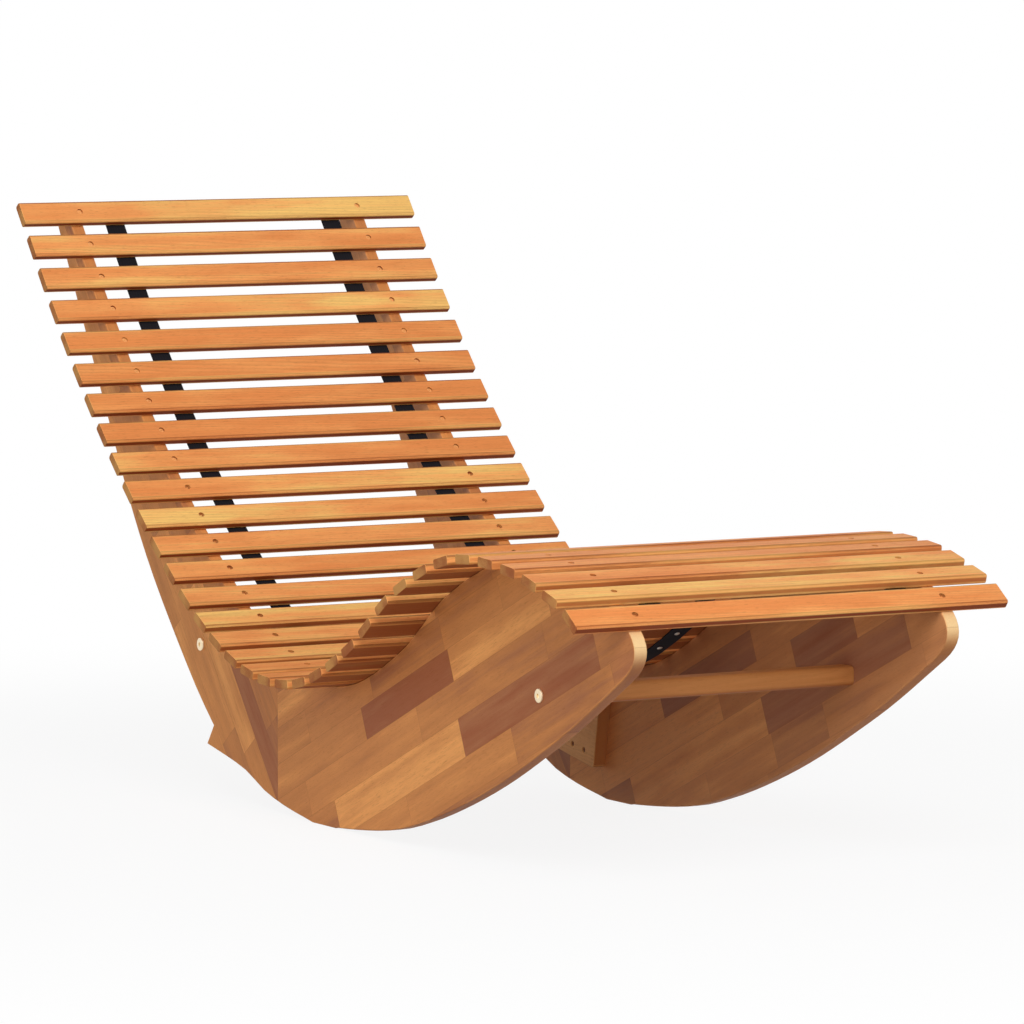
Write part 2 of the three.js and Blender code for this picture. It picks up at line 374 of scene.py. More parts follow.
def wood(name, tones, deep, end_grain, rings=0.14, figure=1.0, staves=False):
    """Tones run from dark to pale. Deep is the colour of late wood and pores, and of painted shade.
    """
    finish = Finish(name)
    place = finish.attribute("wood_place", "Vector")
    tone = finish.attribute("wood_tone")
    end = finish.attribute("wood_end")
    painted_shade = finish.attribute("wood_under")
    wear = finish.attribute("wood_wear")
    along, across, through = finish.split(place)
    palest = tones[-1][1]

    waver = finish.noise(place, WAVER_WAVES, 3.0)
    streaks = finish.noise(place, STREAK_WAVES)
    blotches = finish.noise(place, BLOTCH_WAVES)
    bands = finish.noise(place, BAND_WAVES, 3.0, 0.65)
    fibres = finish.noise(place, FIBRE_WAVES, 2.0, 0.6)
    pores = finish.between(finish.noise(place, PORE_WAVES, 1.0), 0.61, 0.7)

    beside = across + along * PITH_SLANT + (waver - MEAN) * RING_WAVER
    below = through + PITH_BESIDE - along * (PITH_SLANT / 2)
    radius = (beside * beside + below * below) ** 0.5
    ring = (radius / RING_WIDTH + bands * 0.5).fraction()
    late_wood = finish.between(ring, 0.2, 0.85) * (1 - finish.between(ring, 0.85, 1.0))

    coarse = (streaks - MEAN) * STREAKS_IN_TONE + (blotches - MEAN) * BLOTCHES_IN_TONE
    shade = tone + (coarse + (bands - MEAN) * BANDS_IN_TONE) * figure
    body = finish.ramp(shade, tones)
    faint_rings = late_wood * finish.between(streaks, 0.35, 0.65) * rings
    fine = bands * (BANDS_IN_GRAIN * figure) + fibres * FIBRES_IN_GRAIN + pores * PORES_IN_GRAIN
    grain = faint_rings + fine - (CLEAR_WOOD + CLEAR_FIGURE * figure)
    body = finish.blend(grain, body, deep)
    # Painted shade: faces that look down are blended towards the deep colour
    body = finish.blend(painted_shade, body, deep)
    cut_end = end**3.0
    fibrous_end = finish.blend(fibres * 0.4, end_grain, deep)
    body = finish.blend(cut_end * END_GRAIN_SHARE, body, fibrous_end)
    wear_and_painted_light = wear * finish.between(waver + fibres * 0.3, 0.5, 0.8)
    body = finish.blend(wear_and_painted_light * WEAR_SHARE, body, palest)
    if staves:
        low = finish.attribute("stave_low", "Vector")
        high = finish.attribute("stave_high", "Vector")
        edges = finish.node("ShaderNodeVectorMath", {"operation": "MINIMUM"}, {0: low, 1: high})
        from_end, from_side, _ = finish.split(edges)
        glue = 1 - finish.between(from_end.lesser(from_side), 0.4 * GLUE_LINE, GLUE_LINE)
        body = finish.blend(glue * GLUE_SHARE, body, deep)
        # Painted light: a pale grey cast, with streaks, on the faces that look to the middle
        dust_and_painted_light = finish.attribute("stave_dust")
        body = finish.blend(dust_and_painted_light * (EVEN_PAINTED_LIGHT + streaks * STREAKY_PAINTED_LIGHT), body, PAINTED_LIGHT_TINT)
    return finish.set(
        Base_Color=body,
        Roughness=OILED_ROUGHNESS + fibres * 0.14 + cut_end * 0.2 + pores * 0.1,
        Specular_IOR_Level=OIL_GLOSS,
        Normal=finish.bump(fibres * 0.5 - pores * 0.8 - late_wood * 0.15, 0.3, 0.25 * MM),
    )


ruddy = colour(235, 145, 79)
orange = colour(248, 165, 94)
golden = colour(255, 205, 118)
slat_tones = [(0.0, ruddy), (0.42, orange), (1.0, golden)]
slat_wood = wood(
    "oiled slat wood",
    slat_tones,
    deep=colour(130, 58, 20),
    end_grain=colour(158, 86, 46),
    figure=1.5,
)
pale_slat_wood = wood(
    "oiled golden slat wood",
    slat_tones,
    deep=colour(142, 66, 24),
    end_grain=colour(174, 100, 54),
    figure=1.5,
)
print("slat finishes made:", slat_wood.name, "and", pale_slat_wood.name)

# %% [markdown]
# ## Marking the grain
#
# The finish needs a few things at each corner of a mesh: its place in the plank, the plank's tone
# there, how far the face is cut across the grain, and how much painted shade it gets as it looks
# down. They are written as attributes once a piece has its final shape. Narrow bevelled faces are
# marked as worn. Each plank is cut from its own place in the wood, so its pattern is shifted by
# chance.

# %% Writing marks on a mesh
chance = random.Random(35)


def shifted_by_chance(*reaches):
    return Vector([chance.uniform(-reach, reach) for reach in reaches])


def write_marks(mesh, **marks):
    """Writes each list of marks, a number or a vector for every corner, as an attribute."""
    for name, values in marks.items():
        vectors = isinstance(values[0], Vector)
        attribute = mesh.attributes.new(name, "FLOAT_VECTOR" if vectors else "FLOAT", "CORNER")
        flat = [number for value in values for number in value] if vectors else values
        attribute.data.foreach_set("vector" if vectors else "value", flat)


# %% Marking a single plank
PLANK_SHIFT = (9, 0.03, 0.012)
# The painted shade on faces that look down, strongest on the narrow side that looks down
DOWNWARD_GAIN = 1.4
PAINTED_UNDERSIDE_SHADE = 0.8
PAINTED_NARROW_SIDE_SHADE = 0.22
ARRIS_FALL_OFF = 0.6


def looks_down(normal):
    """0 for a face that is upright or looks up, rising to 1 for one that looks steeply down."""
    return min(1.0, max(0.0, -DOWNWARD_GAIN * normal.z))


def painted_shade_of(normal, across):
    """How much painted shade a face of a plank gets: most on the narrow side that looks down."""
    low_side = -across if across.z > 0 else across
    turned = max(0.0, normal.dot(low_side)) ** ARRIS_FALL_OFF
    narrow_side = turned * min(1.0, PAINTED_NARROW_SIDE_SHADE + looks_down(low_side))
    return max(PAINTED_UNDERSIDE_SHADE * looks_down(normal), narrow_side)


def mark_grain(piece, origin, axes, tone, worn_below=0.0):
    """Marks a piece of one plank. Axes are the directions along, across and through it.

    The tone is a number or a function of the place, and faces of less area than worn_below
    are arrises, which wear pale.
    """
    mesh = piece.data
    shift = shifted_by_chance(*PLANK_SHIFT)
    along, across, through = axes
    places, tones, ends, painted_shades, wears = [], [], [], [], []
    normals = mesh.corner_normals
    for face in mesh.polygons:
        for corner in face.loop_indices:
            point = mesh.vertices[mesh.loops[corner].vertex_index].co - origin
            place = Vector((point.dot(along), point.dot(across), point.dot(through)))
            places.append(place + shift)
            tones.append(tone(place) if callable(tone) else tone)
            ends.append(abs(normals[corner].vector.dot(along)))
            # Painted shade, drawn darker as the face looks down
            painted_shades.append(painted_shade_of(normals[corner].vector, across))
            wears.append(1.0 if face.area < worn_below else 0.0)
    write_marks(mesh, wood_place=places, wood_tone=tones, wood_end=ends)
    write_marks(mesh, wood_under=painted_shades, wood_wear=wears)


# %% [markdown]
# ## The slats
#
# All slats are alike: a planed strip with rounded long arrises, slightly broken ends and a sunk
# hole for a screw over each side. One is modelled flat, from a box, and copied to the place and
# tilt of each measured slat, which is read from the piece itself: the long direction of its end
# outline is the slat's width.

# %% Where the slats lie
slat_names = sorted(name for name in nodes if name.startswith("slat_"))


def corners_at(node_name, x):
    """The different corners of a measured piece on the plane at x."""
    found = {}
    for vertex in nodes[node_name].data.vertices:
        if abs(vertex.co.x - x) < TOUCHING:
            found[round(vertex.co.y, 6), round(vertex.co.z, 6)] = vertex.co.copy()
    return list(found.values())


def frame_of(node_name):
    """The matrix that lays a flat plank, centred on the origin, where a measured plank lies.

    Its tilt is that of the long direction of the end outline.
    """
    low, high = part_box(node_name)
    middle = (low + high) / 2
    outline = corners_at(node_name, low.x)
    offsets = [corner - middle for corner in outline]
    twist = 2 * sum(o.y * o.z for o in offsets)
    spread = sum(o.y**2 - o.z**2 for o in offsets)
    angle = math.atan2(twist, spread) / 2
    return Matrix.Translation(middle) @ Matrix.Rotation(angle, 4, "X")


def size_of(node_name):
    place = frame_of(node_name).inverted()
    points = [place @ vertex.co for vertex in nodes[node_name].data.vertices]
    return Vector([max(p[i] for p in points) - min(p[i] for p in points) for i in range(3)])


slat_places = [frame_of(name) for name in slat_names]
SLAT_LENGTH, SLAT_WIDTH, SLAT_THICKNESS = size_of(slat_names[0])
print("slats:", len(slat_names), "of", [round(c / MM, 1) for c in size_of(slat_names[0])], "mm")

# %% Model one slat
ARRIS_RADIUS = 3 * MM
END_ARRIS = 0.9 * MM
SCREW_FROM_MIDDLE = 213.5 * MM
POCKET_RADIUS = 4 * MM
POCKET_DEPTH = 2.5 * MM
POCKET_SIDES = 20


def box_piece(name, size):
    piece = add_new(name, bpy.ops.mesh.primitive_cube_add, size=1)
    piece.scale = size
    bpy.ops.object.transform_apply(location=False, rotation=False, scale=True)
    return piece


def runs_along_x(edge):
    first, second = edge.verts
    return abs(first.co.x - second.co.x) > SLAT_LENGTH / 2


def ends_of_slat(edge):
    return all(abs(v.co.x) > SLAT_LENGTH / 2 - END_ARRIS for v in edge.verts)


def cut_with(piece, tool):
    shape_with(piece, "BOOLEAN", object=tool, operation="DIFFERENCE", solver="EXACT")
    discard(tool)


def upright_rod(name, radius, depth, centre, sides):
    size = {"radius": radius, "depth": depth, "vertices": sides}
    piece = add_new(name, bpy.ops.mesh.primitive_cylinder_add, location=centre, **size)
    bpy.ops.object.transform_apply(location=True, rotation=True, scale=True)
    return piece


one_slat = box_piece("slat pattern", (SLAT_LENGTH, SLAT_WIDTH, SLAT_THICKNESS))
open_mesh(one_slat)
ease(runs_along_x, ARRIS_RADIUS, segments=5)
ease(ends_of_slat, END_ARRIS)
close_mesh()
for _, sign in SIDES:
    spot = (sign * SCREW_FROM_MIDDLE, 0, SLAT_THICKNESS / 2)
    cut_with(one_slat, upright_rod("pocket", POCKET_RADIUS, 2 * POCKET_DEPTH, spot, POCKET_SIDES))
smooth(one_slat)
print("one slat:", len(one_slat.data.polygons), "faces")

# %% [markdown]
# The slats come from different trees, so most are orange, some are ruddy and a few are golden, and
# several turn from one tone to the other along their length.

# %% Lay the thirty-five slats
# Each slat's tone at its left and its right end: 0 is ruddy, 0.42 orange and 1 golden
usual_tone = (0.3, 0.2)
slat_tone_ends = {
    1: (0.5, 1.1), 2: (0.42, 0.4), 3: (0.34, 0.3), 4: (0.25, 0.95), 5: (0.05, 0.0),
    6: (0.08, 0.0), 7: (0.05, 0.0), 8: (0.06, 0.0), 9: (0.5, 0.0), 10: (0.2, 0.85),
    11: (0.9, 0.05), 12: (0.55, 0.3), 13: (0.38, 0.12), 15: (0.8, 0.2), 16: (0.35, 0.3),
    17: (0.55, 0.2), 28: (0.3, 0.12), 33: (0.1, 0.6), 34: (0.75, 0.7), 35: (0.02, 0.22),
}
golden_slats = {4, 10, 11, 15, 34}
LARGEST_SLAT_ARRIS = 6e-4


def axes_of(place):
    """The directions along, across and through a plank that lies at its place."""
    return [place.to_3x3() @ Vector(axis) for axis in ((1, 0, 0), (0, 1, 0), (0, 0, 1))]


def tone_along(left, right, length):
    return lambda place: left + (right - left) * (place.x / length + 0.5)


for number, (name, place) in enumerate(zip(slat_names, slat_places), start=1):
    slat = copy_of(one_slat, f"{name}_wood", place)
    left, right = slat_tone_ends.get(number, usual_tone)
    tone = tone_along(left, right, SLAT_LENGTH)
    mark_grain(slat, place.translation, axes_of(place), tone, LARGEST_SLAT_ARRIS)
    if number in golden_slats:
        dress(slat, pale_slat_wood, "pale_slat_wood", name)
    else:
        dress(slat, slat_wood, "slat_wood", name)
discard(one_slat)
print("slats laid, from", slat_names[0], "to", slat_names[-1])

# %% [markdown]
# ## Zinc finishes
#
# The screws and the connector bolts are steel with a thin yellowish zinc plating. It is a metal,
# so its colour comes from what it reflects: a fine mottle in the roughness breaks this up. The
# screws in the wood get darker, browner copies that are less like metal, as painted shade for their
# pockets, and the ones in the back rest a bright copy as painted highlight.

# %% The zinc finish
MOTTLE_WAVES = (900, 900, 900)
SCUFF_WAVES = (350, 2600, 700)


def zinc(name, pale, dull, metal=0.9):
    finish = Finish(name)
    place = finish.node("ShaderNodeTexCoord", output="Object")
    mottle = finish.noise(place, MOTTLE_WAVES, 3.0, 0.6)
    scuffs = finish.between(finish.noise(place, SCUFF_WAVES), 0.58, 0.72)
    return finish.set(
        Base_Color=finish.blend(mottle * 0.55 + scuffs * 0.25, pale, dull),
        Metallic=metal,
        Roughness=0.34 + mottle * 0.22,
        Normal=finish.bump(mottle - scuffs * 0.5, 0.12, 0.05 * MM),
    )


bolt_zinc = zinc("zinc plated bolt", colour(255, 238, 205), colour(232, 204, 162))
# Lit and shaded copies: the slat and plate screw finishes carry painted shade and painted highlight
shaded_slat_screw_zinc = zinc("slat screw with painted shade", colour(196, 116, 58), colour(110, 56, 24), metal=0.4)
lit_slat_screw_zinc = zinc(
    "slat screw with painted highlight", colour(255, 190, 118), colour(226, 148, 84), metal=0.3
)
shaded_plate_screw_zinc = zinc("plate screw with painted shade", colour(150, 92, 48), colour(84, 44, 20), metal=0.6)
strap_zinc = zinc("bright zinc screw", colour(246, 242, 232), colour(188, 182, 170))
print("zinc finishes made, from", bolt_zinc.name, "to", strap_zinc.name)

# %% [markdown]
# ## The slat screws
#
# Each slat screw has a small countersunk head with a cross recess, sunk a little below the face.
# The ones in the back rest get a bright copy of the finish as a painted highlight, and the others a
# dark one as painted shade. The head is a short rod whose top edge is eased and whose middle is cut
# out as a cross, by two crossed boxes. It is modelled once, at the origin, looking up.

# %% Model one screw head and sink it in every slat
SLAT_SCREW_RADIUS = 3.7 * MM
SLAT_SCREW_SUNK = 2.1 * MM
SCREW_HEAD_DEPTH = 1.2 * MM
SCREW_HEAD_SIDES = 16
# The last slat whose screws get the painted highlight
LAST_PAINTED_LIT_SLAT = 9

# Shares of the head's depth, and of its radius
EASED_SHARE = 0.22
CROSS_LENGTH_SHARE, CROSS_WIDTH_SHARE = 1.1, 0.28


def screw_head(name, radius, depth):
    """A round screw head whose top lies at the origin, with a cross recess."""

    def on_top(edge):
        return all(v.co.z > -depth / 4 for v in edge.verts)

    head = upright_rod(name, radius, depth, (0, 0, -depth / 2), SCREW_HEAD_SIDES)
    open_mesh(head)
    ease(on_top, EASED_SHARE * depth, segments=1)
    close_mesh()
    length, width = CROSS_LENGTH_SHARE * radius, CROSS_WIDTH_SHARE * radius
    for arm_size in ((length, width, depth), (width, length, depth)):
        cut_with(head, box_piece("arm", arm_size))
    smooth(head)
    return head


screw_pattern = screw_head("screw pattern", SLAT_SCREW_RADIUS, SCREW_HEAD_DEPTH)
for number, place in enumerate(slat_places, start=1):
    for side, sign in SIDES:
        up = SLAT_THICKNESS / 2 - SLAT_SCREW_SUNK
        turn = Matrix.Rotation(chance.uniform(0, math.pi), 4, "Z")
        spot = place @ Matrix.Translation((sign * SCREW_FROM_MIDDLE, 0, up)) @ turn
        screw = copy_of(screw_pattern, f"slat_{number:02d}_{side}_screw", spot)
        # Painted highlight on the back rest's screws, painted shade on the others
        wear_and_painted_light = number <= LAST_PAINTED_LIT_SLAT
        dress(screw, lit_slat_screw_zinc if wear_and_painted_light else shaded_slat_screw_zinc, "zinc")
discard(screw_pattern)
print("slat screws:", 2 * len(slat_places))

# %% [markdown]
# ## The side boards
#
# Each side is glued up from staves about 45 mm wide, with butt joints at their ends. In the front
# boards the staves fall towards the head at 23.5 degrees, and in the rear boards they climb along
# the back rest at 52 degrees. Dark red, purple brown and pale staves are mixed, which is what the
# eye notices first, so the staves are real faces here: the board is cut along each glue line, and
# every stave gets its own tone and its own grain.

# %% How a board is glued up
FOOT_TO_MIDDLE = -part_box("left_front_board")[0].y


class Glued:
    """How a board is glued up. Rows are counted across the staves, cuts and tones along them."""

    def __init__(self, degrees, row_edges, cuts, tones):
        angle = math.radians(degrees)
        self.along = Vector((0, math.cos(angle), math.sin(angle)))
        self.across = Vector((0, -math.sin(angle), math.cos(angle)))
        self.foot = Vector((0, -FOOT_TO_MIDDLE, 0))
        self.row_edges = [edge * MM for edge in row_edges]
        self.cuts = [[cut * MM for cut in row] for row in cuts]
        self.tones = tones

    def place(self, point):
        offset = point - self.foot
        return offset.dot(self.along), offset.dot(self.across)

    def stave_of(self, point):
        """The row of the stave that a point lies in, and the stave's number in that row."""
        along, across = self.place(point)
        row = sum(across > edge for edge in self.row_edges)
        return row, sum(along > cut for cut in self.cuts[row])


# %% [markdown]
# Each plan below gives, in millimetres from the foot end, the glue lines between the rows and the
# joints along each row, and then the staves' tones: 0 is dark red, 0.25 purple brown, 0.5 brown,
# 0.75 tan and 1 pale. Both front boards come from the same rows, and differ in two of them.

# %% Plans of the glued boards
FRONT_SLOPE = -23.5
REAR_SLOPE = 52
front_rows = [228, 273, 321, 366, 407, 450, 492]
left_front_cuts = [
    [60, 330, 560],
    [-60, 190, 470],
    [-37, 308, 650],
    [72, 402, 715],
    [46, 299, 537],
    [150, 305, 500, 680],
    [160, 310],
    [200],
]
right_front_cuts = list(left_front_cuts)
right_front_cuts[1] = [-60, 177, 303, 470]
right_front_cuts[3] = [70, 215, 402, 715]

left_front_glue = Glued(
    FRONT_SLOPE,
    front_rows,
    left_front_cuts,
    [
        [0.4, 0.5, 0.4, 0.6],
        [0.36, 0.38, 0.66, 0.7],
        [0.46, 0.16, 0.94, 0.44],
        [0.42, 0.5, 0.68, 0.54],
        [0.5, 0.76, 0.0, 0.6],
        [0.66, 0.62, 0.4, 0.64, 0.62],
        [0.5, 0.42, 0.8],
        [0.4, 0.36],
    ],
)
# The right board's tones are mostly paler than the left's: a painted light for its inner face,
# which lies in shade under the seat
right_front_glue = Glued(
    FRONT_SLOPE,
    front_rows,
    right_front_cuts,
    [
        [0.6, 0.62, 0.7, 0.7],
        [0.6, 0.58, 0.44, 0.72, 0.8],
        [0.6, 0.24, 0.9, 0.48],
        [0.7, 0.24, 0.68, 0.94, 0.95],
        [0.7, 0.66, 0.2, 0.95],
        [0.7, 0.7, 0.7, 0.8, 0.8],
        [0.7, 0.6, 0.6],
        [0.6, 0.56],
    ],
)
rear_glue = Glued(
    REAR_SLOPE,
    [-800, -765, -722, -682, -650, -610, -568],
    [
        [700],
        [884, 1150],
        [690, 1010, 1220],
        [649, 900, 1130],
        [760, 960],
        [640, 820],
        [700],
        [700],
    ],
    [
        [0.5, 0.6],
        [0.74, 0.62, 0.7],
        [0.5, 0.76, 0.45, 0.8],
        [0.56, 0.88, 0.6, 0.5],
        [0.14, 0.6, 0.4],
        [0.4, 0.46, 0.6],
        [0.5, 0.4],
        [0.5, 0.5],
    ],
)
glued_boards = {
    "left_front_board": left_front_glue,
    "left_rear_board": rear_glue,
    "right_front_board": right_front_glue,
    "right_rear_board": rear_glue,
}
print("rows of staves:", len(left_front_glue.cuts), "in front and", len(rear_glue.cuts), "behind")

# %% Cut a board into its staves
BOARD_ARRIS = 1.8 * MM
JOINT_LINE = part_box("left_front_board")[1].y

# How far a face of the broad side and one of the rim are turned sideways, from 0 to 1
BROAD_SIDE = 0.9
RIM = 0.3


def lies_on_joint(edge):
    return all(abs(v.co.y - JOINT_LINE) < MM for v in edge.verts)


def outline_edge(edge):
    """True for an edge between a broad side and the rim, away from the butt joint."""
    if len(edge.link_faces) != 2 or lies_on_joint(edge):
        return False
    sideways = sorted(abs(face.normal.x) for face in edge.link_faces)
    return sideways[0] < RIM and sideways[1] > BROAD_SIDE


def saw(glue, direction, distance):
    """Divides what is selected by a plane so far from the foot end in that direction."""
    bpy.ops.mesh.bisect(plane_co=glue.foot + direction * distance, plane_no=direction)


def glued_board(node_name, glue):
    board = merged_copy(node_name, f"{node_name}_glued")
    open_mesh(board)
    ease(outline_edge, BOARD_ARRIS)
    for edge in glue.row_edges:
        bpy.ops.mesh.select_all(action="SELECT")
        saw(glue, glue.across, edge)
    for row, cuts in enumerate(glue.cuts):
        for cut in cuts:
            choose("FACE", lambda face: glue.stave_of(face.calc_center_median())[0] == row)
            saw(glue, glue.along, cut)
    close_mesh()
    smooth(board)
    return board


# %% [markdown]
# The staves' tones and grain are written corner by corner, with a painted shade on the faces that
# look down. Two more attributes hold how far a corner lies from the lower and the upper glue lines
# of its stave, from which the finish draws a hairline of dark glue. A third one marks the faces
# that look to the middle, which get a painted light: a pale grey cast.
# The edit tools may leave the faces in another order each time, so the staves are sorted before
# each one's shift is drawn. That keeps the grain the same in every run.

# %% Mark the staves of a board
FAR_AWAY = 1.0
# The painted shade on the faces of a board that look down
PAINTED_RIM_SHADE = 0.5
STAVE_SHIFT = (9, 0.05, 0.02)
ARRIS_TURNED = (0.2, 0.95)


def looks_inwards(face, point):
    return face.normal.x * point.x < -BROAD_SIDE * abs(point.x)


def mark_staves(board, glue):
    """Marks every stave of a board with its own tone and grain, and counts the staves."""
    mesh = board.data
    staves = sorted({glue.stave_of(face.center) for face in mesh.polygons})
    shifts = {stave: shifted_by_chance(*STAVE_SHIFT) for stave in staves}
    places, tones, ends, painted_shades, painted_lights, wears, lows, highs = [], [], [], [], [], [], [], []
    normals = mesh.corner_normals
    for face in mesh.polygons:
        row, column = glue.stave_of(face.center)
        cuts = [-FAR_AWAY, *glue.cuts[row], 2 * FAR_AWAY]
        edges = [-2 * FAR_AWAY, *glue.row_edges, FAR_AWAY]
        arris = ARRIS_TURNED[0] < abs(face.normal.x) < ARRIS_TURNED[1]
        for corner in face.loop_indices:
            point = mesh.vertices[mesh.loops[corner].vertex_index].co
            along, across = glue.place(point)
            places.append(Vector((along, across, point.x)) + shifts[row, column])
            tones.append(glue.tones[row][column])
            ends.append(abs(normals[corner].vector.dot(glue.along)))
            # Painted shade where the face looks down, and painted light on the faces that look to
            # the middle
            painted_shades.append(looks_down(normals[corner].vector) * PAINTED_RIM_SHADE)
            painted_lights.append(float(looks_inwards(face, point)))
            wears.append(float(arris))
            lows.append(Vector((along - cuts[column], across - edges[row], 0)))
            highs.append(Vector((cuts[column + 1] - along, edges[row + 1] - across, 0)))
    write_marks(mesh, wood_place=places, wood_tone=tones, wood_end=ends)
    write_marks(mesh, wood_under=painted_shades, wood_wear=wears)
    write_marks(mesh, stave_dust=painted_lights, stave_low=lows, stave_high=highs)
    return len(staves)


# %% Glue up the four boards
board_tones = [
    (0.0, colour(165, 94, 55)),
    (0.25, colour(179, 113, 71)),
    (0.5, colour(206, 134, 74)),
    (0.75, colour(222, 147, 81)),
    (1.0, colour(249, 173, 98)),
]
board_wood = wood(
    "oiled stave board",
    board_tones,
    deep=colour(134, 70, 32),
    end_grain=colour(255, 222, 164),
    rings=0.05,
    figure=0.7,
    staves=True,
)
for node_name, glue in glued_boards.items():
    board = glued_board(node_name, glue)
    staves = mark_staves(board, glue)
    dress(board, board_wood, "board_wood", node_name)
    print(node_name, "has", staves, "staves and", len(board.data.polygons), "faces")

# %% [markdown]
# ## Joint plates and crossbars
#
# These are single planks, so the measured shapes are kept. The plates get their sharp edges broken,
# and the bars have round edges already. The grain runs along each piece: along the tilted plates,
# and across the lounger in the bars.

# %% Plate and bar finishes
plate_tones = [(0.0, colour(214, 146, 88)), (1.0, colour(255, 200, 132))]
bar_tones = [(0.0, colour(203, 134, 74)), (1.0, colour(244, 174, 104))]
end_grain = colour(200, 130, 72)
plate_wood = wood("oiled plate wood", plate_tones, colour(150, 84, 42), end_grain)
bar_wood = wood("oiled bar wood", bar_tones, colour(160, 92, 46), end_grain)
print("finishes made:", plate_wood.name, "and", bar_wood.name)

# %% Joint plates
PLATE_ARRIS = 1.2 * MM
PLATE_TONE = 0.9
PLATE_TILT = math.radians(10)
SHORTEST_EASED = 1.5 * MM
SHARP = 1.0
LARGEST_PLATE_ARRIS = 1e-4
plate_along = Vector((0, math.cos(PLATE_TILT), math.sin(PLATE_TILT)))
plate_across = Vector((0, -math.sin(PLATE_TILT), math.cos(PLATE_TILT)))


def inner_face_of(side, sign):
    low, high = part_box(f"{side}_joint_plate")
    return high.x if sign < 0 else low.x


def sharp_on(edge, face_x):
    """True for a sharp edge of the face at face_x: its outline and the mouths of its holes."""
    on_face = all(abs(v.co.x - face_x) < TOUCHING for v in edge.verts)
    return on_face and edge.calc_length() > SHORTEST_EASED and edge.calc_face_angle(0) > SHARP


for side, sign in SIDES:
    node_name = f"{side}_joint_plate"
    inner = inner_face_of(side, sign)
    plate = merged_copy(node_name, f"{node_name}_wood")
    open_mesh(plate)
    eased = ease(lambda edge: sharp_on(edge, inner), PLATE_ARRIS)
    close_mesh()
    smooth(plate)
    low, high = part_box(node_name)
    grain = (plate_along, plate_across, Vector((1, 0, 0)))
    mark_grain(plate, (low + high) / 2, grain, PLATE_TONE, LARGEST_PLATE_ARRIS)
    dress(plate, plate_wood, "plate_wood", node_name)
    print(node_name, "with", eased, "edges eased")

# %% Joint plate screws
PLATE_SCREW_SUNK = 1.8 * MM
PLATE_SCREW_RADIUS = 3.2 * MM
MOST_OUTLINE_CORNERS = 8


def pocket_middles(node_name, face_x):
    """Middles of the screw pockets, read from the rings of corners on a plate's inner face."""
    rings = []
    for corner in corners_at(node_name, face_x):
        near = [ring for ring in rings if (ring[0] - corner).length < 3 * PLATE_SCREW_RADIUS]
        if near:
            near[0].append(corner)
        else:
            rings.append([corner])
    round_ones = [ring for ring in rings if len(ring) > MOST_OUTLINE_CORNERS]
    return [sum(ring, Vector()) / len(ring) for ring in round_ones]


plate_screw = screw_head("plate screw pattern", PLATE_SCREW_RADIUS, SCREW_HEAD_DEPTH)
for side, sign in SIDES:
    spots = pocket_middles(f"{side}_joint_plate", inner_face_of(side, sign))
    face_out = Matrix.Rotation(-sign * math.pi / 2, 4, "Y")
    for number, spot in enumerate(spots, start=1):
        seat = Matrix.Translation(spot + Vector((sign * PLATE_SCREW_SUNK, 0, 0)))
        screw = copy_of(plate_screw, f"{side}_plate_screw_{number}", seat @ face_out)
        # Dark finish: painted shade for the pockets the screws sit in
        dress(screw, shaded_plate_screw_zinc, "zinc")
    print(side, "joint plate screws:", len(spots))
discard(plate_screw)

# %% Crossbars
BAR_TONE = 0.1
BAR_SMOOTH_BELOW = 40
for end in ("front", "rear"):
    node_name = f"{end}_crossbar"
    low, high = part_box(node_name)
    bar = merged_copy(node_name, f"{node_name}_wood")
    smooth(bar, BAR_SMOOTH_BELOW)
    mark_grain(bar, (low + high) / 2, axes_of(Matrix.Identity(4)), BAR_TONE)
    dress(bar, bar_wood, "bar_wood", node_name)
    print(node_name, "dressed,", round((high - low).x / MM), "mm long")

# %% [markdown]
# ## Connector bolts and barrel nuts
#
# A connector bolt has a low round head with an eased rim and a hexagonal key socket. Its profile is
# half an outline, so it is spun round the bolt's axis: a short path of corners, extruded one after
# the other, then turned through a full circle. The barrel nuts sit deep in the bars, so the
# measured ones stay and only get the zinc finish.

# %% Spin one bolt
BOLT_HEAD_RADIUS = 8.5 * MM
BOLT_HEAD_HEIGHT = 2.6 * MM
BOLT_SHANK_RADIUS = 3 * MM
BOLT_SOCKET_RADIUS = 2.9 * MM
BOLT_SOCKET_DEPTH = 1.6 * MM
BOLT_SPIN_STEPS = 40
KEY_SIDES = 6

# The eased outline of the head, as shares of its radius and its height
HEAD_OUTLINE = [(1, 0), (1, 0.5), (0.965, 0.8), (0.88, 0.96), (0.7, 1), (0, 1)]


def spun(name, profile, steps):
    """Turns a profile of (radius, height) corners round the Z axis into a closed body."""
    piece = add_new(name, bpy.ops.mesh.primitive_plane_add, size=MM)
    open_mesh(piece)
    bpy.ops.mesh.select_mode(type="VERT")
    bpy.ops.mesh.select_all(action="SELECT")
    bpy.ops.mesh.merge(type="CENTER")
    start = Vector((profile[0][0], 0, profile[0][1]))
    bpy.ops.transform.translate(value=start)
    for (radius, height), (next_radius, next_height) in zip(profile, profile[1:]):
        step = (next_radius - radius, 0, next_height - height)
        bpy.ops.mesh.extrude_region_move(TRANSFORM_OT_translate={"value": step})
    bpy.ops.mesh.select_all(action="SELECT")
    bpy.ops.mesh.spin(steps=steps, angle=2 * math.pi, center=(0, 0, 0), axis=(0, 0, 1))
    bpy.ops.mesh.select_all(action="SELECT")
    bpy.ops.mesh.remove_doubles(threshold=TOUCHING)
    bpy.ops.mesh.normals_make_consistent(inside=False)
    close_mesh()
    return piece


